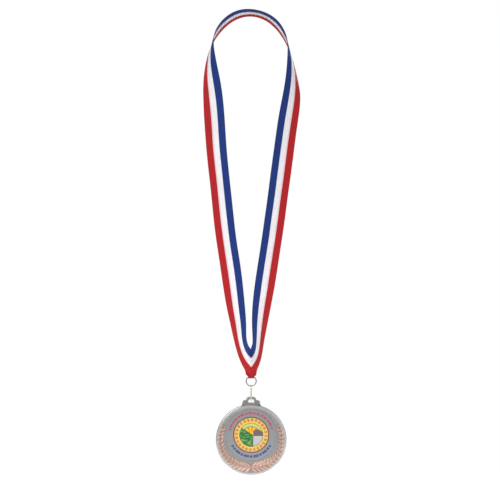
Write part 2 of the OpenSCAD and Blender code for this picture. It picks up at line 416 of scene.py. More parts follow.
def rippled(grid, normals, length, across):
    """A slight wave and cup, as in cloth that has been folded and hung up."""
    along = length[:, None]
    calm = smooth((grid[..., 2] + 330)/60)
    wave = 0.22*np.sin(along/23 + 1.3) + 0.12*np.sin(along/9.1 + 4*across[None, :])
    cup = 0.15*(2*across[None, :] - 1)**2
    return grid + normals*((wave + cup)*calm)[..., None]


# %% Turning the surface into a thick strip
def cloth_strip(name, grid, across, length, woven, seam, finish, thick=RIBBON_T, bead=0.07, lift=None):
    """A closed strip of cloth round a surface, in millimetres, with painted values."""
    ahead = np.gradient(grid, axis=0)
    side = np.gradient(grid, axis=1)
    normals = unit(np.cross(ahead, side))
    if lift:
        grid = lift(grid, normals, length, across)
    edge = np.minimum(across, 1 - across)*RIBBON_W
    half = thick/2 + bead*np.exp(-(edge/0.6)**2)
    half[[0, -1]] = 0
    front = grid + normals*half[None, :, None]
    back = grid - normals*half[None, :, None]
    rings = np.concatenate([front, back[:, -2:0:-1]], axis=1)
    points, faces = skin(rings)
    values = {
        "across": np.concatenate([woven, woven[:, -2:0:-1]], axis=1),
        "along": np.repeat(length, rings.shape[1]),
        # The seam values are painted shade, which the finish uses to darken the cloth.
        "seam": np.concatenate([seam, seam[:, -2:0:-1]], axis=1)}
    return piece(name, points*MM, faces, finish, values, sharp=60)


# %% [markdown]
# ## The woven finish
# A medal ribbon is a tight satin: blue, white and red warp threads run along it, and the weft makes
# fine ribs across it. The stripes follow the cloth, so they are read from the value painted across
# it, not from space. The ribs and the threads are a small bump and a slight change of colour, and
# the stripe edges wander by a thread or so. Dye shows faintly in the white beside the red.

# %% The ribbon's finish
BLUE = paint(30, 58, 130)
WHITE = paint(252, 250, 254)
RED = paint(188, 34, 40)
PINK = paint(232, 170, 176)
BLUE_EDGE = 0.345
RED_EDGE = 0.655


def ribbon_weave():
    material, shader, place = new_finish("ribbon weave", Sheen_Weight=0.04, Sheen_Roughness=0.4,
                                         Specular_IOR_Level=0.15)
    across = place.painted("across")
    along = place.painted("along")
    wander = (place.noise(900.0, 2.0) - 0.5)*0.005
    line = across + wander
    threads = (line*(2*math.pi*70)).sine()
    ribs = (along*(2*math.pi/0.62)).sine()
    pinkish = line.inside(0.60, 0.68, 0.05)*0.5
    colour = line.above(BLUE_EDGE, 0.01).mix(BLUE, pinkish.mix(WHITE, PINK))
    colour = line.above(RED_EDGE, 0.01).mix(colour, RED)
    weave = threads*0.5 + ribs*0.5
    shade = weave*0.04 + place.noise(70.0)*0.12
    colour = shade.mix(colour, paint(30, 26, 34))
    selvedge = (across - 0.5).size().above(0.487, 0.012)*0.25
    # Painted shade from the seam values, in the seam's crease, at the V's inner corner and on the tuck's
    # fold, and a darker selvedge.
    colour = (selvedge + place.painted("seam")*0.45).mix(colour, paint(24, 18, 28))
    feed(shader, Base_Color=colour, Roughness=0.52 + weave*0.05,
         Normal=bumped(ribs*0.6 + threads*0.4, 0.00006, 0.6))
    return material


WEAVE = ribbon_weave()

# %% The ribbon itself
def edge_spaced(count):
    """Places across the ribbon, closer together at its edges."""
    inner = np.linspace(0.03, 0.97, count)
    return np.concatenate([[0, 0.004, 0.012], inner, [0.988, 0.996, 1]])


ends = len(GUIDE) - 1
steps = np.unique(np.concatenate([
    np.linspace(0, 2, 90), np.linspace(2, ends - 2, 560), np.linspace(ends - 2, ends, 90)]))
width_steps = edge_spaced(15)
surface, lengths, stripes = ribbon_surface(steps, width_steps)
seam_shade = rolled_and_shaded(surface)
ribbon = cloth_strip("ribbon_loop", surface, width_steps, lengths, stripes, seam_shade, WEAVE,
                     lift=rippled)
print("ribbon length along its middle, mm", round(lengths[-1], 1))

# %% [markdown]
# ## The tuck and the seam's back
# Below the V the ribbon is folded under the ring's wire and sewn up behind, so the fold is a half
# tube of the same cloth with a short flap behind. The two ends of the ribbon stand up behind the
# V as a seam allowance, one layer beside the other, a little apart at their free edge.

# %% The tuck
def tuck_path():
    """The fold seen from the side: down the front, round the wire and up behind, in y and z."""
    down = [(-TUCK_R, TUCK_Z + 0.02)]
    turn = [(-TUCK_R*math.cos(a), TUCK_Z - TUCK_R*math.sin(a)) for a in np.linspace(0.05, math.pi, 20)]
    up = [(TUCK_R, TUCK_Z + 0.7), (1.6, TUCK_Z + 2), (0.4, TUCK_Z + 3.9), (-0.7, TUCK_Z + 5.5)]
    return np.array(down + turn + up)


def tuck_piece():
    path = tuck_path()
    across = edge_spaced(9)
    low = smooth((TUCK_Z - path[:, 1])/1.6)
    half = np.where(path[:, 0] > 0, TIP_HALF, TIP_HALF - 0.1*low)
    grid = np.zeros((len(path), len(across), 3))
    grid[..., 0] = half[:, None]*(1 - 2*across[None, :])
    grid[..., 1:] = path[:, None, :]
    length = np.concatenate([[0], np.cumsum(np.linalg.norm(np.diff(path, axis=0), axis=1))])
    # Painted shade on the fold, where the cloth turns under the wire.
    fold_shade = np.repeat(1.2*np.exp(-((path[:, 1] - TUCK_Z + 0.2)/0.5)**2)[:, None], len(across), axis=1)
    stripe = np.full(fold_shade.shape, TIP_STRIPE)
    return cloth_strip("ribbon_tuck_fold", grid, across, length, stripe, fold_shade, WEAVE, bead=0.02)


tuck = tuck_piece()

# %% The seam allowance behind the V
SEAM_RUN = 29.4


def flap_layer(side):
    depth = np.linspace(-1.2, 4.2, 12)
    across = np.linspace(0, 1, 24)
    top, bottom = -336, -353
    grid = np.zeros((len(depth), len(across), 3))
    spread = ((depth + 1.2)/5.4)**2
    grid[..., 0] = side*(0.24 + 0.5*spread[:, None]*(1 + 0.3*np.sin(7*across + side)[None, :]))
    rounding = 0.9*np.abs(2*across - 1)[None, :]**6*spread[:, None]
    grid[..., 1] = depth[:, None] - rounding
    grid[..., 2] = top + (bottom - top)*across[None, :]
    stripe = (NOTCH_Z - grid[..., 2])/SEAM_RUN + 0.06
    return cloth_strip("seam_allowance_" + side_name(side), grid, across, depth, stripe, 0*stripe, WEAVE,
                       thick=0.36, bead=0.02)


flaps = [flap_layer(-1), flap_layer(1)]

# %% [markdown]
# ## Small parts on guide points
# Stitches, leaves, berries and printed marks all repeat one small shape. Geometry Nodes does that
# best: a tree puts the shape on every guide point, turned and scaled by values stored there, with
# an optional random turn from a fixed seed. The instances are then made real, and the result is
# kept as a plain mesh.

# %% A tree that places small parts
def placing_tree():
    tree = bpy.data.node_groups.new("small parts on guide points", "GeometryNodeTree")
    sockets = {}
    for name, kind in [("Guide points", "Geometry"), ("Small part", "Object"), ("Scale", "Float"),
                       ("Loose turn", "Vector"), ("Seed", "Int"), ("Finish", "Material")]:
        sockets[name] = tree.interface.new_socket(name, in_out="INPUT", socket_type="NodeSocket" + kind)
    tree.interface.new_socket("Parts", in_out="OUTPUT", socket_type="NodeSocketGeometry")
    new, link = tree.nodes.new, tree.links.new
    start, end = new("NodeGroupInput"), new("NodeGroupOutput")
    turn, size = new("GeometryNodeInputNamedAttribute"), new("GeometryNodeInputNamedAttribute")
    for node, name in ((turn, "turn"), (size, "size")):
        node.data_type = "FLOAT_VECTOR"
        node.inputs["Name"].default_value = name
    chance = new("FunctionNodeRandomValue")
    chance.data_type = "FLOAT_VECTOR"
    flip, both, grow = (new("ShaderNodeVectorMath") for _ in range(3))
    flip.operation, both.operation, grow.operation = "SCALE", "ADD", "SCALE"
    flip.inputs["Scale"].default_value = -1
    shape = new("GeometryNodeObjectInfo")
    put = new("GeometryNodeInstanceOnPoints")
    real = new("GeometryNodeRealizeInstances")
    dress = new("GeometryNodeSetMaterial")
    link(start.outputs["Loose turn"], flip.inputs[0])
    link(flip.outputs[0], chance.inputs[0])
    link(start.outputs["Loose turn"], chance.inputs[1])
    link(start.outputs["Seed"], chance.inputs["Seed"])
    link(turn.outputs["Attribute"], both.inputs[0])
    link(chance.outputs[0], both.inputs[1])
    link(size.outputs["Attribute"], grow.inputs[0])
    link(start.outputs["Scale"], grow.inputs["Scale"])
    link(start.outputs["Small part"], shape.inputs["Object"])
    link(start.outputs["Guide points"], put.inputs["Points"])
    link(shape.outputs["Geometry"], put.inputs["Instance"])
    link(both.outputs[0], put.inputs["Rotation"])
    link(grow.outputs[0], put.inputs["Scale"])
    link(put.outputs["Instances"], real.inputs[0])
    link(real.outputs[0], dress.inputs["Geometry"])
    link(start.outputs["Finish"], dress.inputs["Material"])
    link(dress.outputs[0], end.inputs[0])
    return tree, {name: s.identifier for name, s in sockets.items()}


PLACING, INPUTS = placing_tree()


# %% Running the tree and keeping a plain mesh
def placed(name, part, places, turns, sizes, finish, loose=(0, 0, 0), seed=1):
    """Copies of a small part at places in metres, with turns in radians and sizes as factors."""
    guide = bpy.data.meshes.new(name + "_guide")
    guide.from_pydata([tuple(p) for p in places], [], [])
    for key, rows in (("turn", turns), ("size", sizes)):
        layer = guide.attributes.new(key, "FLOAT_VECTOR", "POINT")
        layer.data.foreach_set("vector", np.asarray(rows, dtype=np.float32).ravel())
    holder = bpy.data.objects.new(name + "_guide", guide)
    bpy.context.collection.objects.link(holder)
    modifier = holder.modifiers.new("parts", "NODES")
    modifier.node_group = PLACING
    given = {"Small part": part, "Scale": 1.0, "Loose turn": loose, "Seed": seed, "Finish": finish}
    for key, value in given.items():
        modifier[INPUTS[key]] = value
    graph = bpy.context.evaluated_depsgraph_get()
    mesh = bpy.data.meshes.new_from_object(holder.evaluated_get(graph))
    mesh.name = name
    bpy.data.objects.remove(holder)
    made = bpy.data.objects.new(name, mesh)
    bpy.context.collection.objects.link(made)
    print(name, "copies", len(places), "faces", len(mesh.polygons))
    return made


def retire(part):
    """Removes a small part's own object once its copies are real."""
    bpy.data.objects.remove(part)


# %% [markdown]
# ## Stitches
# Each stitch is a short length of polyester thread that dips into the cloth at both ends, a long
# thin lozenge with a round section. It needs only a few dozen faces.

# %% The thread and one stitch
def sewing_thread():
    material, shader, place = new_finish("sewing thread", Sheen_Weight=0.3)
    twist = (place.node("ShaderNodeSeparateXYZ", {}, {0: place}, 2)*26000.0).sine()
    tone = (place.noise(1500.0)*0.5 + twist*0.12 + 0.1).mix(paint(120, 26, 32), paint(70, 12, 18))
    feed(shader, Base_Color=tone, Roughness=0.6 + twist*0.1, Normal=bumped(twist, 0.00003, 0.5))
    return material


THREAD = sewing_thread()


def stitch_shape(length, radius):
    """One stitch along X, a round bead of thread with tapered ends that lie lower."""
    places = np.linspace(-1, 1, 7)
    ring = np.linspace(0, 2*math.pi, 8, endpoint=False)
    rows = []
    for p in places:
        r = radius*math.sqrt(max(0.03, 1 - p**4))
        sink = -0.8*radius*p**4
        rows.append([(p*length/2, sink + r*math.cos(a), r*math.sin(a)) for a in ring])
    points, faces = skin(np.array(rows))
    return piece("stitch", points, faces, THREAD)


# %% The two rows of stitches
stitch = stitch_shape(1.7*MM, 0.13*MM)
rows = [(side*0.58, 1.2, -351 + 2.4*k) for side in (-1, 1) for k in range(7)]
rows = [(x*MM, y*MM, z*MM) for x, y, z in rows]
seam_turns = [(0, math.radians(90), math.radians(90 if x < 0 else -90)) for x, _, _ in rows]
seam_row = placed("seam_stitch_row", stitch, rows, seam_turns, [(1, 1, 1)]*len(rows), THREAD,
                  loose=(0.05, 0, 0.05), seed=4)
bar = [(x*MM, (SEAM_Y - 0.22)*MM, (TUCK_Z + 3.4)*MM) for x in (-2.7, -1.6, 1.6, 2.7)]
tuck_row = placed("tuck_stitch_bar", stitch, bar, [(math.pi, 0, 0)]*len(bar),
                  [(0.5, 0.7, 0.7)]*len(bar), THREAD, loose=(0, 0.08, 0), seed=5)
retire(stitch)

# %% [markdown]
# ## Ring and link
# The jump ring is bright plated wire bent into a circle, and its two ends meet in a butt joint that
# stays visible as a hairline. The link is an oval of slightly thicker gilt wire seen edge on, closed
# by a small weld. Both are swept along their own path, so the joint is real and not painted.

# %% Plated finishes
def plated(name, bright, dull, roughness):
    """Bright plate with faint haze, rub marks and fine drawing lines from the wire."""
    material, shader, place = new_finish(name, Metallic=1.0)
    haze = place.noise(260.0)
    rubbed = place.noise(2400.0, 2.0).above(0.62, 0.12)
    feed(shader, Base_Color=(haze*0.8 + rubbed*0.3).mix(bright, dull),
         Roughness=roughness + haze*0.12 + rubbed*0.12,
         Normal=bumped(place.noise(3200.0, 2.0), 0.00002, 0.4))
    return material


RING_PLATE = plated("ring plate", paint(168, 170, 174), paint(104, 106, 112), 0.24)
LINK_GILT = plated("link gilt", paint(246, 234, 190), paint(216, 198, 140), 0.26)


# %% Wire swept along a path
def wire(name, path, radii, finish, closed=False, around=16):
    """Round wire along a path in metres, with its own radius at every point."""
    along = np.gradient(path, axis=0)
    if closed:
        along = np.roll(path, -1, axis=0) - np.roll(path, 1, axis=0)
    along = unit(along)
    flat = np.abs(np.linalg.svd(path - path.mean(axis=0))[2][2])
    side = unit(np.cross(along, flat))
    angles = np.linspace(0, 2*math.pi, around, endpoint=False)
    circle = side[:, None]*np.cos(angles)[None, :, None] + flat[None, None]*np.sin(angles)[None, :, None]
    points, faces = skin(path[:, None] + circle*np.asarray(radii)[:, None, None], closed)
    return piece(name, points, faces, finish)


# %% The jump ring with its butt joint
low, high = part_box("jump_ring")
ring_wire = high[1] - low[1]
ring_r = (high[0] - low[0] - ring_wire)/2
ring_z = (low[2] + high[2])/2
joint_at = math.radians(215)
gap = 0.035*MM/ring_r
turns = joint_at + np.concatenate([[gap], np.linspace(0.02, 2*math.pi - 0.02, 110), [2*math.pi - gap]])
radii = np.full(len(turns), ring_wire/2)
radii[[0, -1]] *= 0.86
path = np.stack([ring_r*np.cos(turns), 0*turns, ring_z + ring_r*np.sin(turns)], axis=1)
jump_ring = wire("jump_ring_wire", path, radii, RING_PLATE)
print("jump ring radius", round(ring_r/MM, 2), "mm, wire", round(ring_wire/MM, 2), "mm")

# %% The oval link with its weld
low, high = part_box("oval_link")
link_wire = high[0] - low[0]
bend_r = (high[1] - low[1] - link_wire)/2
top_z, bottom_z = high[2] - link_wire/2 - bend_r, low[2] + link_wire/2 + bend_r
bend = np.linspace(0, math.pi, 30)
over = np.stack([bend_r*np.cos(bend), top_z + bend_r*np.sin(bend)], axis=1)
under = np.stack([-bend_r*np.cos(bend), bottom_z - bend_r*np.sin(bend)], axis=1)
straight = np.linspace(0, 1, 26)[1:-1, None]
outline = np.concatenate([over, over[-1] + (under[0] - over[-1])*straight,
                          under, under[-1] + (over[0] - under[-1])*straight])
weld = np.exp(-((outline[:, 1] - (top_z + bottom_z)/2)/(0.35*MM))**2)*(outline[:, 0] < 0)
uneven = 0.5 + 0.5*np.sin(outline[:, 1]/MM*1.7)
link_radii = link_wire/2*(1 - 0.035*uneven)*(1 + 0.05*weld)
path = np.stack([0*outline[:, 0], outline[:, 0], outline[:, 1]], axis=1)
link = wire("oval_link_wire", path, link_radii, LINK_GILT, closed=True)

# %% [markdown]
# ## The medal casting
# The blank is a disc with a rolled rim, a sunk field and a round recess that sits a little above
# the middle, so that the laurel has room below. A lathe profile can't have two centres, so the
# front is a loft: rings run from the recess edge, round its own centre, out to the rim, round the
# medal's centre. The height of every point then comes from its distance to the outer edge.

# %% Sizes of the casting, from the frame
low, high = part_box("medal_body")
MEDAL_R = (high[0] - low[0])/2
MEDAL_Z = low[2] + MEDAL_R
MEDAL_T = high[1] - low[1]
LUG_TOP = high[2]
low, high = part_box("insert_disc")
INSERT_R = (high[0] - low[0])/2
INSERT_Z = (low[2] + high[2])/2
INSERT_FRONT = low[1]
RECESS_R = INSERT_R + 0.1*MM
RECESS_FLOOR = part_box("adhesive_pad")[1][1]
FIELD_Y = -MEDAL_T/2 + 0.34*MM
RIM_W = 5.2*MM
CREST = 1.5*MM
print("medal radius", round(MEDAL_R/MM, 2), "insert radius", round(INSERT_R/MM, 2))


# %% Its height over the face
def rim_drop(edge):
    """How far the face falls back on the rounding round its outer edge."""
    outside = np.clip(1 - edge/CREST, 0, 1)
    return CREST*(1 - np.sqrt(1 - outside**2))


def face_height(edge):
    """How far forward the face stands at each distance in from the outer edge."""
    outer_y = -MEDAL_T/2 + rim_drop(edge)
    inner_y = -MEDAL_T/2 + (FIELD_Y + MEDAL_T/2)*smooth((edge - CREST)/(RIM_W - CREST))
    return np.where(edge < CREST, outer_y, inner_y)


def casting_rings(count=288):
    """Rings of points from the middle of the recess over the face and round to the back."""
    angles = np.linspace(0, 2*math.pi, count, endpoint=False)
    rings, wear = [], []

    def ring(radius, y, centre_z, worn):
        x, z = radius*np.cos(angles), centre_z + radius*np.sin(angles)
        rings.append(np.stack([x, np.broadcast_to(y, x.shape), z], axis=1))
        wear.append(np.broadcast_to(worn, x.shape))

    for part in (0.02, 0.5, 0.97):
        ring(RECESS_R*part, RECESS_FLOOR, INSERT_Z, 0)
    ring(RECESS_R, RECESS_FLOOR - 0.05*MM, INSERT_Z, 0)
    for share in np.concatenate([np.linspace(0, 0.5, 14), np.linspace(0.53, 1, 34)]):
        radius = RECESS_R*(1 - share) + (MEDAL_R - 0.02*MM)*share
        centre = INSERT_Z*(1 - share) + MEDAL_Z*share
        x, z = radius*np.cos(angles), centre + radius*np.sin(angles)
        edge = MEDAL_R - np.hypot(x, z - MEDAL_Z)
        y = face_height(edge)
        worn = np.exp(-((edge - 1.5*MM)/(1.1*MM))**2)
        rings.append(np.stack([x, y, z], axis=1))
        wear.append(worn)
    for y, inset, worn in ((0.2, 0, 0.2), (MEDAL_T/2/MM - 0.5, 0, 0.2), (MEDAL_T/2/MM - 0.15, 0.15, 0.7),
                           (MEDAL_T/2/MM, 0.5, 0.6), (MEDAL_T/2/MM, 2.2, 0.3)):
        ring(MEDAL_R - inset*MM, y*MM, MEDAL_Z, worn)
    for inset, sink in ((2.5, 0.12), (2.8, 0.18), (12, 0.18), (24, 0.18), (34.5, 0.18)):
        ring(MEDAL_R - inset*MM, MEDAL_T/2 - sink*MM, MEDAL_Z, 0.1)
    return np.array(rings), np.array(wear)


# %% [markdown]
# ## The cast finish
# Antique plate is dark grey, and it is rubbed bright on what stands out; a value painted over the
# face says where that is. A second value darkens it: an even brown-black wash over the lug, and
# painted shade where the lug meets the rim. A fine sand texture from the mould, with dark pits,
# and a soft cloudiness break up the reflection, so that it doesn't look like new steel.

# %% Antique plate
def antique_cast():
    material, shader, place = new_finish("antique cast", Metallic=0.9)
    wear = place.painted("wear")
    wash_and_shade = place.painted("wash_and_shade")
    cloud = place.noise(45.0)
    grain = place.noise(2600.0, 2.0)
    bright = (cloud*0.9 + grain*0.25 - 0.1).mix(paint(170, 169, 168), paint(140, 139, 139))
    colour = (wear*0.6).mix(bright, paint(222, 221, 219))
    pits = grain.above(0.66, 0.06)*0.35
    # Darker in the sand's pits and where the wash value is: a wash over the lug, and painted shade where
    # the lug meets the rim.
    colour = (pits + wash_and_shade*0.8).mix(colour, paint(72, 69, 67))
    feed(shader, Base_Color=colour, Roughness=0.46 + grain*0.12 - wear*0.2,
         Normal=bumped(grain + cloud*2.0, 0.00004, 0.5))
    return material


CAST = antique_cast()
rings, wear = casting_rings()
points, faces = skin(rings)
# Painted shade on the rim's top edge just under the lug, where the lug meets the disc.
lug_foot_shade = np.exp(-((MEDAL_R - np.hypot(rings[..., 0], rings[..., 2] - MEDAL_Z))/(0.7*MM))**2)
lug_foot_shade = lug_foot_shade*(np.abs(rings[..., 0]) < 8.6*MM)*(rings[..., 2] > MEDAL_Z)
casting = piece("medal_casting", points, faces, CAST, {"wear": wear, "wash_and_shade": lug_foot_shade}, sharp=35)

# %% [markdown]
# ## The lug
# Above the rim a pair of rounded shoulders carries a small arch, and the link hangs in the slot
# below it. The lug is made as a skin round the slot: at each direction from the slot's middle the
# inner outline gives the slot and the outer outline gives the arch, the shoulders and the foot
# that runs into the disc. The arch is round in section, because the link turns on it.

# %% Outlines read along a direction
LUG_Z = LUG_TOP - 4.2*MM
LUG_OUTER = [(0, 4.25), (2.8, 4.15), (4.3, 3.3), (4.9, 1.9), (5.1, 0.95), (6.2, 0.85), (7.6, 0.7),
             (8.4, 0.0), (8.7, -1.2), (9.0, -3.2), (9.9, -5.2), (11, -7), (5, -8.4), (0, -8.6)]
LUG_HALF_T = 1.3
CORNER_SOFT = 0.45
LUG_SLOT = [(0, 1.62), (1.5, 1.56), (2.5, 0.95), (2.95, -0.2), (3.0, -1.1), (2.6, -1.55), (0, -1.6)]


def mirrored(half):
    return np.array(half + [(-x, z) for x, z in half[-2:0:-1]], dtype=float)


def outline_at(half, angles):
    """The outline's point in each direction from the middle, by crossing its sides."""
    corners = mirrored(half)
    ends_of = np.roll(corners, -1, axis=0)
    found = []
    for a in angles:
        way = np.array([math.cos(a), math.sin(a)])
        best = 0
        for p, q in zip(corners, ends_of):
            side = q - p
            spin = way[0]*side[1] - way[1]*side[0]
            if abs(spin) < 1e-9:
                continue
            far = (p[0]*side[1] - p[1]*side[0])/spin
            share = (p[0]*way[1] - p[1]*way[0])/spin
            if far > 0 and -1e-6 <= share <= 1 + 1e-6:
                best = max(best, far)
        found.append(way*best)
    return np.array(found)


# %% The lug as a skin round its slot
def lug_piece():
    angles = np.linspace(0, 2*math.pi, 160, endpoint=False) + 0.01
    slot, outer = outline_at(LUG_SLOT, angles), outline_at(LUG_OUTER, angles)
    for _ in range(2):
        outer = 0.25*np.roll(outer, 1, axis=0) + 0.5*outer + 0.25*np.roll(outer, -1, axis=0)
        slot = 0.25*np.roll(slot, 1, axis=0) + 0.5*slot + 0.25*np.roll(slot, -1, axis=0)
    soft = CORNER_SOFT + (LUG_HALF_T - CORNER_SOFT)*smooth((slot[:, 1] - 0.4)/0.9)
    width = np.linalg.norm(outer - slot, axis=1)
    bend = list(np.linspace(0, math.pi/2, 7))
    back_half = [(a, 1, 1) for a in bend] + [(a, 1, 0) for a in bend[::-1]]
    profile = [(a, -1, 1 - outside) for a, _, outside in back_half] + back_half
    rows, worn = [], []
    for turn, facing, from_outer in profile:
        inset = soft*(1 - math.cos(turn))
        y = facing*(LUG_HALF_T - soft*(1 - math.sin(turn)))
        share = np.minimum(0.48, inset/width)
        share = 1 - share if from_outer else share
        flat = slot + (outer - slot)*share[:, None]
        rows.append(np.stack([flat[:, 0], y, flat[:, 1]], axis=1))
        worn.append(np.where(inset < 0.4, 0.6, 0.25))
    rings = np.array(rows).transpose(1, 0, 2)*MM
    rings[..., 2] += LUG_Z
    points, faces = skin(rings, closed=True)
    # Darker value on the lug: an even wash all over, and painted shade where the lug meets the rim.
    step = np.exp(-((np.hypot(rings[..., 0], rings[..., 2] - MEDAL_Z) - MEDAL_R)/(0.8*MM))**2)
    values = {"wear": np.array(worn).T, "wash_and_shade": 0.3 + 0.7*step}
    return piece("medal_lug", points, faces, CAST, values, sharp=50)


lug = lug_piece()

# %% [markdown]
# ## The laurel
# Two branches start from crossed stems at the bottom and climb both sides. The leaves are pointed,
# with a raised midrib, and overlap like scales: one each side of the stem and one along it. One
# leaf is modelled with a few dozen faces and placed along the branch, larger at the bottom, where
# the field is deep, and smaller towards the tip. Where leaves reach the rim's rounding they are
# bent back along it, so that none of them stands off the metal.

# %% One leaf
def copper_plate():
    material, shader, place = new_finish("laurel copper", Metallic=0.75)
    ridge = place.painted("ridge")
    cloud = place.noise(180.0)
    grain = place.noise(2600.0, 2.0)
    colour = ridge.above(0.4, 0.6).mix(paint(134, 104, 92), paint(226, 190, 174))
    colour = (cloud*0.6).mix(colour, paint(180, 159, 149))
    feed(shader, Base_Color=colour, Roughness=0.42 + grain*0.14,
         Normal=bumped(grain, 0.00003, 0.4))
    return material


COPPER = copper_plate()


def leaf_shape(name, length, width, height):
    """A leaf along X in the plane of the face, standing out towards -Y."""
    rows, ridge = [], []
    sides = np.array([-1, -0.6, -0.18, 0, 0.18, 0.6, 1])
    for t in (0.01, 0.12, 0.3, 0.5, 0.7, 0.86, 0.99):
        half = width/2*math.sin(math.pi*t**0.85)**0.8 + 0.01*width
        lift = height*(0.35 + 0.65*math.sin(math.pi*min(1, 0.15 + 0.75*t)))
        rise = np.array([0, 0.55, 0.62, 1, 0.62, 0.55, 0])*lift
        top = np.stack([np.full(7, t*length), -rise, sides*half], axis=1)
        base = np.stack([np.full(2, t*length), np.full(2, 0.35*MM), np.array([1, -1])*half], axis=1)
        rows.append(np.concatenate([top, base]))
        ridge.append([0, 0.5, 0.45, 1, 0.45, 0.5, 0, 0, 0])
    points, faces = skin(np.array(rows))
    return piece(name, points, faces, COPPER, {"ridge": np.array(ridge)}, sharp=70)


# %% The branches
LEAF_Y = FIELD_Y + 0.05*MM


def branch_at(share, side):
    """Place and heading of a branch, at a share of its length from the stems to the tip."""
    angle = math.radians(-90 + side*(1 + 113*share))
    radius = (27.3 + 3.1*smooth(share*1.8))*MM
    heading = angle + side*math.pi/2
    return radius*math.cos(angle), MEDAL_Z + radius*math.sin(angle), heading


def hug_rim(made):
    """Bends the leaf tips that lie on the rim's rounding back along it."""
    flat = np.empty(3*len(made.data.vertices), dtype=np.float32)
    made.data.vertices.foreach_get("co", flat)
    spots = flat.reshape(-1, 3)
    spots[:, 1] += rim_drop(MEDAL_R - np.hypot(spots[:, 0], spots[:, 2] - MEDAL_Z))
    made.data.vertices.foreach_set("co", spots.ravel())
    made.data.update()


def branch_leaves(side, leaf):
    places, turns, sizes = [], [], []
    count = 16
    for k in range(count):
        share = k/(count - 1)
        x, z, heading = branch_at(share, side)
        broad = 1.22 - 0.44*smooth(share*1.25)
        fan = math.radians(44 - 9*share)
        for j, lean in enumerate((fan, -fan, 0.14)):
            along_stem = j == 2
            grow = broad*(0.8 if along_stem else 1)*(0.75 if share == 1 else 1)
            places.append((x, LEAF_Y - 0.12*j*MM, z))
            turns.append((0, -(heading + side*lean), 0))
            sizes.append((grow, 1, grow*(0.85 if along_stem else 1.05)))
    return placed("laurel_leaves_" + side_name(side), leaf, places, turns, sizes, COPPER,
                  loose=(0.1, 0.09, 0), seed=11 + side)


leaf = leaf_shape("leaf", 6.6*MM, 2.9*MM, 0.75*MM)
leaves = {side: branch_leaves(side, leaf) for side in (-1, 1)}
for branch in leaves.values():
    hug_rim(branch)
retire(leaf)


# %% The stems and berries
def stem(side):
    shares = np.linspace(-0.09, 0.97, 60)
    path = np.array([(x, LEAF_Y - 0.15*MM, z) for x, z, _ in (branch_at(s, side) for s in shares)])
    radii = (0.5 - 0.25*np.clip(shares, 0, 1))*MM
    made = wire("laurel_stem_" + side_name(side), path, radii, COPPER, around=8)
    layer = made.data.attributes.new("ridge", "FLOAT", "POINT")
    layer.data.foreach_set("value", np.full(len(layer.data), 0.55, dtype=np.float32))
    return made


def berry_shape(radius):
    rows = []
    turn = np.linspace(0, 2*math.pi, 8, endpoint=False)
    for p in np.linspace(0.03, math.pi - 0.03, 6):
        wide = radius*math.sin(p)
        rows.append([(wide*math.cos(a), -radius*math.cos(p), wide*math.sin(a)) for a in turn])
    points, faces = skin(np.array(rows))
    return piece("berry", points, faces, COPPER, {"ridge": np.full(len(points), 0.8)})


berry = berry_shape(0.55*MM)
stems = {side: stem(side) for side in (-1, 1)}
berries = {}
for side in (-1, 1):
    spots = []
    for share in (0.1, 0.27, 0.44, 0.61, 0.78):
        x, z, heading = branch_at(share, side)
        out = 2.1*MM*(1 if round(share*100) % 2 else -1)
        spots.append((x - out*math.sin(heading), LEAF_Y - 0.45*MM, z + out*math.cos(heading)))
    berries[side] = placed("laurel_berries_" + side_name(side), berry, spots,
                           [(0, 0, 0)]*len(spots), [(1, 1, 1)]*len(spots), COPPER)
tie_spots = [(x*MM, LEAF_Y - 0.5*MM, MEDAL_Z + z*MM)
             for x, z in ((-1.0, -27.6), (0, -26.9), (1.0, -27.6))]
tie = placed("laurel_tie_berries", berry, tie_spots, [(0, 0, 0)]*3, [(1.15, 1, 1.15)]*3, COPPER)
retire(berry)

# %% [markdown]
# ## The printed insert
# The insert is a thin foil disc, printed and covered with clear resin. Its picture is generic: a
# sun over hills and water in an orange ring. The print is all sums on the distance and direction
# from the disc's centre, so it stays sharp at any size. Two rows of small marks above and below the
# ring, a red one and a blue one, stand where such inserts carry wording.

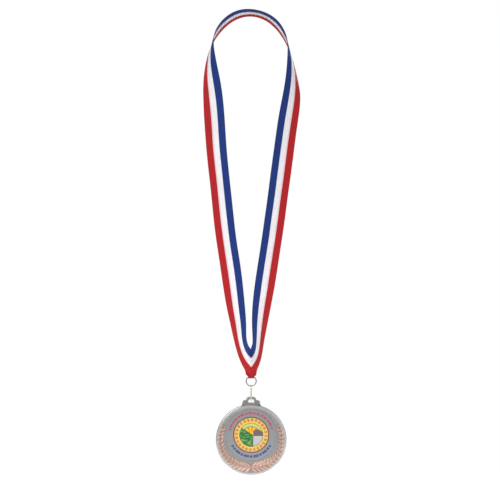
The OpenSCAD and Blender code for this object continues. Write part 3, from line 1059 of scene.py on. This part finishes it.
# %% The print
def printed_insert():
    material, shader, place = new_finish("printed insert", Coat_Weight=0.3, Coat_Roughness=0.15)
    centred = place.node("ShaderNodeMapping", {}, {0: place, 1: (0, 0, -INSERT_Z/MM), 3: (1/MM,)*3})
    parts = centred.tree.nodes.new("ShaderNodeSeparateXYZ")
    centred.tree.links.new(centred.out, parts.inputs[0])
    x, z = Signal(centred.tree, parts.outputs[0]), Signal(centred.tree, parts.outputs[2])
    squares = x*x + z*z
    radius = squares.sums("SQRT", squares)
    angle = x.sums("ARCTAN2", x, z)
    soft = 0.25
    fuzz = centred.noise(1.1)
    fine = centred.noise(3.0)
    patch = centred.noise(0.6, 2.0)
    # The picture: sky, sun, right hill, water, left hill
    sky = fuzz.mix(paint(166, 186, 92), paint(214, 214, 120))
    low_z = z + 1.4
    fan = x.sums("ARCTAN2", x, low_z)
    squares = x*x + low_z*low_z
    sun_r = squares.sums("SQRT", squares)
    rays = (fan*14.0).sine().above(0.25, 0.5)*sun_r.above(3.6, 0.6)
    sun = rays.mix(paint(234, 188, 30), paint(214, 124, 26))
    arc = sun_r.inside(9.3, 9.9, 0.2)*fan.size().below(1.0, 0.1)
    sky = arc.mix(sky, paint(70, 120, 70))
    colour = (sun_r.below(9.3, soft)*fan.size().below(0.84, 0.05)).mix(sky, sun)
    rim_hill = (z - (6.2 - 0.10*(x - 6.0)*(x - 6.0)))
    right = x.above(2.0, soft)*rim_hill.below(-1.2, soft)
    stone = (patch + z*0.09).above(0.58, 0.12).mix(paint(130, 86, 62), paint(90, 94, 108))
    colour = right.mix(colour, stone)
    crown = x.above(1.6, soft)*rim_hill.inside(-1.5, -0.7, soft)*z.above(-0.6, soft)
    colour = crown.mix(colour, paint(146, 78, 44))
    water = x.above(1.2, soft)*z.below(-0.6, soft)
    waves = (z*5.2 + (x*1.4).sine()*0.9).sine().above(0.35, 0.5)
    glints = (waves*0.6 + patch).above(0.85, 0.3)
    colour = water.mix(colour, glints.mix(paint(208, 200, 190), paint(118, 150, 170)))
    shore = x.inside(1.2, 2.0, soft)*z.below(-0.6, soft) + z.inside(-1.1, -0.5, soft)*x.above(1.4, soft)
    colour = shore.mix(colour, paint(94, 70, 58))
    left = (z + x*0.62).below(0.9, soft)*x.below(1.4, soft)
    slanted = centred.node("ShaderNodeMapping", {}, {0: centred, 2: (0, 0.8, 0), 3: (0.5, 1, 1.7)})
    strokes = slanted.noise(0.9, 2.0)
    leafy = strokes.above(0.54, 0.16).mix(paint(12, 92, 46), paint(50, 142, 66))
    leafy = strokes.inside(0.58, 0.66, 0.05).mix(leafy, paint(142, 190, 96))
    colour = left.mix(colour, leafy)
    edge = (z + x*0.62).inside(0.6, 1.15, 0.2)*x.below(1.4, soft)
    colour = edge.mix(colour, paint(24, 84, 44))
    # The ring with its beads and points, and the outlines
    beads = (angle*24.0).sine()*0.9 - (radius - 14.6).size()*0.62
    points_out = (angle*48.0).sine()*0.7 - (radius - 16.6).size()*1.6
    ring = (beads.above(-0.3, 0.25)*0.9).mix(paint(220, 170, 76), paint(150, 86, 42))
    ring = (points_out.above(-0.1, 0.4)*0.6).mix(ring, paint(206, 116, 40))
    ring = radius.inside(12.1, 13.0, 0.4).mix(ring, paint(240, 196, 84))
    ring = (patch.above(0.5, 0.2)*0.35).mix(ring, paint(238, 204, 130))
    colour = radius.above(11.7, soft).mix(colour, ring)
    colour = radius.inside(11.45, 11.95, 0.15).mix(colour, paint(96, 104, 44))
    colour = radius.inside(16.95, 17.9, 0.2).mix(colour, paint(82, 40, 26))
    foil = fuzz.mix(paint(164, 165, 168), paint(144, 146, 152))
    grey = radius.above(17.85, 0.2)
    colour = grey.mix(colour, foil)
    feed(shader, Base_Color=colour, Metallic=grey*0.85, Roughness=0.48 - grey*0.04 + fine*0.08,
         Normal=bumped(fuzz, 0.00002, 0.3))
    return material


PRINT = printed_insert()


# %% The disc under its resin
DOME = 0.18*MM


def resin_y(share):
    """How far forward the resin stands, at a share of the insert's radius."""
    return INSERT_FRONT - DOME*(1 - share**4)


def insert_piece():
    angles = np.linspace(0, 2*math.pi, 144, endpoint=False)
    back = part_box("insert_disc")[1][1]
    rows = [(0.01, back), (0.6, back), (0.985, back), (1.0, back - 0.08*MM)]
    rows += [(1.0, INSERT_FRONT + 0.16*MM), (0.998, INSERT_FRONT + 0.04*MM), (0.985, INSERT_FRONT)]
    rows += [(s, resin_y(s)) for s in (0.95, 0.88, 0.76, 0.6, 0.4, 0.2, 0.01)]
    rings = []
    for s, y in rows:
        r = s*INSERT_R
        rings.append(np.stack([r*np.cos(angles), np.full(len(angles), y),
                               INSERT_Z + r*np.sin(angles)], axis=1))
    points, faces = skin(np.array(rings))
    return piece("printed_insert_disc", points, faces, PRINT, sharp=50)


insert = insert_piece()


# %% [markdown]
# ## The two rows of marks
# Screen ink stands a few hundredths of a millimetre proud of the foil. The upper row is red
# lozenges of three widths, the lower one upright blue dashes, all round the insert's centre.

# %% Ink and marks
def ink(name, colour, worn):
    material, shader, place = new_finish(name, Coat_Weight=0.5)
    thin = place.noise(3000.0).above(0.58, 0.2)*0.5
    feed(shader, Base_Color=thin.mix(colour, worn), Roughness=0.4 + thin*0.2,
         Normal=bumped(thin, 0.00001, 0.4))
    return material


RED_INK = ink("red ink", paint(174, 54, 60), paint(160, 100, 102))
BLUE_INK = ink("blue ink", paint(34, 52, 118), paint(84, 96, 136))


def mark_shape(name, outline, thick, finish):
    """A flat mark with a bevelled edge, facing -Y."""
    flat = np.array(outline)*MM
    rows = [(1.0, 0.02*MM), (1.0, -0.4*thick), (0.86, -thick)]
    rings = [np.stack([flat[:, 0]*s, np.full(len(flat), y), flat[:, 1]*s], axis=1) for s, y in rows]
    points, faces = skin(np.array(rings))
    return piece(name, points, faces, finish, sharp=30)


def mark_arc(name, mark, radius, first, last, count, sizes, finish):
    spots, turns = [], []
    for k in range(count):
        a = math.radians(first + (last - first)*k/(count - 1))
        spots.append((radius*math.sin(a), resin_y(radius/INSERT_R), INSERT_Z + radius*math.cos(a)))
        turns.append((0, a, 0))
    widths = [sizes[k % len(sizes)] for k in range(count)]
    stretch = [(w, 1, 1 if w > 0.5 else 0.62) for w in widths]
    return placed(name, mark, spots, turns, stretch, finish)


ARC_R = 21.5*MM
INK_T = 0.05*MM
LOZENGE = [(-0.8, 0), (-0.4, 1.45), (0.4, 1.45), (0.8, 0), (0.4, -1.45), (-0.4, -1.45)]
DASH = [(-0.72, 1.3), (0.72, 1.3), (0.72, -1.3), (-0.72, -1.3)]
lozenge = mark_shape("lozenge", LOZENGE, INK_T, RED_INK)
red_marks = mark_arc("red_marks", lozenge, ARC_R, -76, 76, 37, (1, 0.45, 1, 0.75, 0.45), RED_INK)
dash = mark_shape("dash", DASH, INK_T, BLUE_INK)
blue_marks = mark_arc("blue_marks", dash, ARC_R, 121, 239, 29, (1, 0.45, 1, 0.45, 1, 0.8), BLUE_INK)
for part in (lozenge, dash):
    retire(part)


# %% [markdown]
# ## The adhesive pad
# The pad behind the insert is hidden, and its CAD shape is right, so only its finish is made.

# %% The pad's finish
def adhesive():
    material, shader, place = new_finish("adhesive")
    foam = place.noise(1800.0)
    feed(shader, Base_Color=foam.mix(paint(240, 236, 224), paint(214, 208, 192)),
         Roughness=0.6 + foam*0.2, Normal=bumped(foam, 0.00005))
    return material


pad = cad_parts["adhesive_pad"]
pad.data.materials.clear()
pad.data.materials.append(adhesive())

# %% [markdown]
# ## Joining the pieces to the bodies
# Every piece rides on the body that carries it, and it says which CAD solid it stands for and which
# finish of the record it shows.

# %% Riding, replacing and slots
RIDES = {
    "ribbon": [(ribbon, "neck_ribbon", "ribbon_weave"), (tuck, "ribbon_tuck", "ribbon_weave"),
               (flaps[0], "seam_flap", "ribbon_weave"), (flaps[1], None, "ribbon_weave"),
               (seam_row, "seam_stitches", "sewing_thread"), (tuck_row, "tuck_stitches", "sewing_thread")],
    "ring": [(jump_ring, "jump_ring", "ring_plate")],
    "link": [(link, "oval_link", "link_gilt")],
    "medal": [(casting, "medal_body", "antique_cast"), (lug, None, "antique_cast"),
              (leaves[-1], "laurel_left", "laurel_copper"), (leaves[1], "laurel_right", "laurel_copper"),
              (stems[-1], None, "laurel_copper"), (stems[1], None, "laurel_copper"),
              (berries[-1], None, "laurel_copper"), (berries[1], None, "laurel_copper"),
              (tie, "laurel_tie", "laurel_copper"), (insert, "insert_disc", "printed_insert"),
              (red_marks, None, "printed_insert"), (blue_marks, None, "printed_insert")]}
for body, riders in RIDES.items():
    for rider, node, slot in riders:
        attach(rider, body)
        if node:
            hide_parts(node)
print("pieces", sum(len(r) for r in RIDES.values()) + 1)
